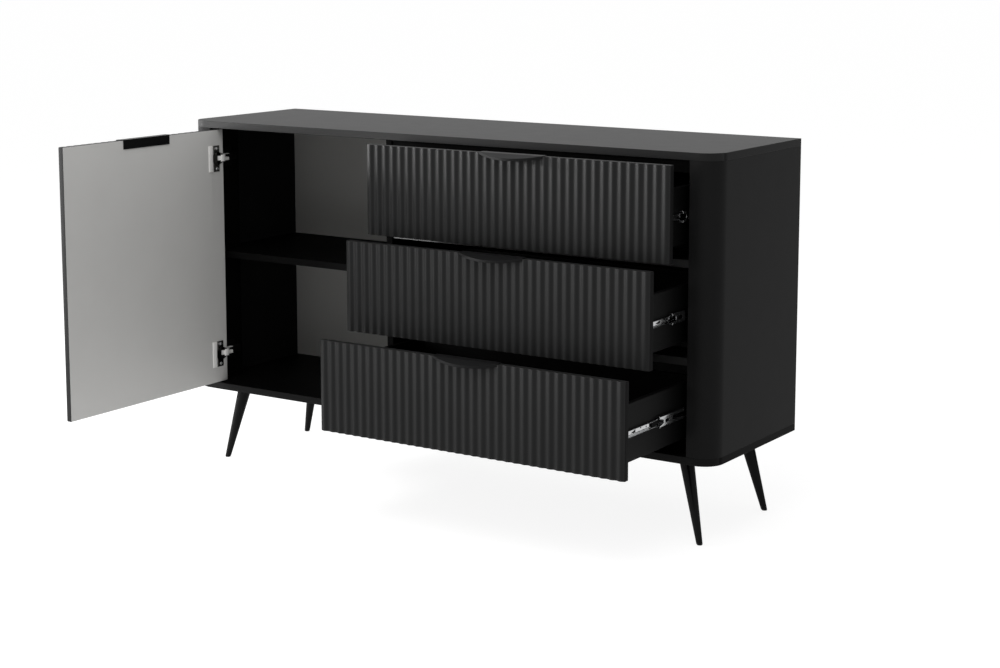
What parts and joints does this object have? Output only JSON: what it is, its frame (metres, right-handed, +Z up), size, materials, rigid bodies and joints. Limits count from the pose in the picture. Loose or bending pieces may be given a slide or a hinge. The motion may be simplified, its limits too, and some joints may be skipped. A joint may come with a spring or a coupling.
{
  "type": "sideboard",
  "caption": "Low sideboard with rounded front corners, a fluted hinged door over a shelf, stacked fluted drawers on runners and splayed tapered legs.",
  "frame": {"origin": "on the floor under the middle of the cabinet's plan, midway between its sides and between its front and rear edges", "axes": "+X to the right as seen from the front, +Y to the back, +Z up; the fronts face -Y"},
  "size_m": [1.4, 0.8815, 0.824],
  "materials": {
    "carcass_board": "matte charcoal laminate on particle board",
    "inner_board": "matte dark grey laminate on particle board",
    "thin_panel": "smooth painted hardboard",
    "fluted_front": "matte charcoal foil on fluted fibreboard",
    "drawer_box": "matte dark foil on particle board",
    "leg_wood": "turned wood with black satin lacquer",
    "leg_plate_steel": "black powder coat",
    "glide_plastic": "black moulded plastic",
    "handle_metal": "black powder-coated sheet metal",
    "runner_zinc": "bright zinc-plated steel",
    "hinge_nickel": "bright nickel-plated steel",
    "fitting_zinc": "grey zinc alloy",
    "screw_steel": "zinc-plated steel",
    "dowel_wood": "plain beech"
  },
  "bodies": {
    "cabinet": {"top_panel": "carcass_board", "bottom_panel": "carcass_board", "left_side_panel": "carcass_board", "right_side_panel": "carcass_board", "back_panel": "thin_panel", "divider_panel": "inner_board", "runner_panel": "inner_board", "hinge_batten": "inner_board", "shelf": "inner_board", "shelf_pins": "screw_steel", "top_rail": "inner_board", "upper_rail": "inner_board", "lower_rail": "inner_board", "dowels": "dowel_wood", "cam_locks": "fitting_zinc", "cam_bolts": "screw_steel", "front_left_leg": "leg_wood", "front_right_leg": "leg_wood", "rear_left_leg": "leg_wood", "rear_right_leg": "leg_wood", "leg_plates": "leg_plate_steel", "leg_screws": "screw_steel", "leg_glides": "glide_plastic", "upper_hinge_arm": "hinge_nickel", "lower_hinge_arm": "hinge_nickel", "hinge_mounting_plates": "hinge_nickel", "hinge_plate_screws": "screw_steel", "lower_runner_outer": "runner_zinc", "middle_runner_outer": "runner_zinc", "upper_runner_outer": "runner_zinc"},
    "door": {"door_panel": "fluted_front", "door_handle": "handle_metal", "upper_hinge_cup": "hinge_nickel", "lower_hinge_cup": "hinge_nickel", "hinge_cup_screws": "screw_steel"},
    "upper_drawer": {"upper_drawer_front": "fluted_front", "upper_drawer_left_side": "drawer_box", "upper_drawer_right_side": "drawer_box", "upper_drawer_back": "drawer_box", "upper_drawer_bottom": "thin_panel", "upper_drawer_handle": "handle_metal", "upper_runner_inner": "runner_zinc"},
    "upper_slide": {"upper_runner_middle": "runner_zinc"},
    "middle_drawer": {"middle_drawer_front": "fluted_front", "middle_drawer_left_side": "drawer_box", "middle_drawer_right_side": "drawer_box", "middle_drawer_back": "drawer_box", "middle_drawer_bottom": "thin_panel", "middle_drawer_handle": "handle_metal", "middle_runner_inner": "runner_zinc"},
    "middle_slide": {"middle_runner_middle": "runner_zinc"},
    "lower_drawer": {"lower_drawer_front": "fluted_front", "lower_drawer_left_side": "drawer_box", "lower_drawer_right_side": "drawer_box", "lower_drawer_back": "drawer_box", "lower_drawer_bottom": "thin_panel", "lower_drawer_handle": "handle_metal", "lower_runner_inner": "runner_zinc"},
    "lower_slide": {"lower_runner_middle": "runner_zinc"}
  },
  "joints": [
    {"name": "door_hinge", "type": "hinge", "parent": "cabinet", "child": "door", "pos_m": [-0.6235, -0.184, 0], "axis": [0, 0, 1], "range_deg": [-5, 90]},
    {"name": "upper_drawer_slide", "type": "slide", "parent": "cabinet", "child": "upper_drawer", "axis": [0, -1, 0], "range_m": [-0.0765, 0.2235]},
    {"name": "upper_runner_slide", "type": "slide", "parent": "cabinet", "child": "upper_slide", "axis": [0, -1, 0], "range_m": [-0.03825, 0.11175]},
    {"name": "middle_drawer_slide", "type": "slide", "parent": "cabinet", "child": "middle_drawer", "axis": [0, -1, 0], "range_m": [-0.153, 0.147]},
    {"name": "middle_runner_slide", "type": "slide", "parent": "cabinet", "child": "middle_slide", "axis": [0, -1, 0], "range_m": [-0.0765, 0.0735]},
    {"name": "lower_drawer_slide", "type": "slide", "parent": "cabinet", "child": "lower_drawer", "axis": [0, -1, 0], "range_m": [-0.247, 0.053]},
    {"name": "lower_runner_slide", "type": "slide", "parent": "cabinet", "child": "lower_slide", "axis": [0, -1, 0], "range_m": [-0.1235, 0.0265]}
  ],
  "couplings": [
    {"joint": "upper_runner_slide", "follows": "upper_drawer_slide", "ratio": 0.5},
    {"joint": "middle_runner_slide", "follows": "middle_drawer_slide", "ratio": 0.5},
    {"joint": "lower_runner_slide", "follows": "lower_drawer_slide", "ratio": 0.5}
  ]
}
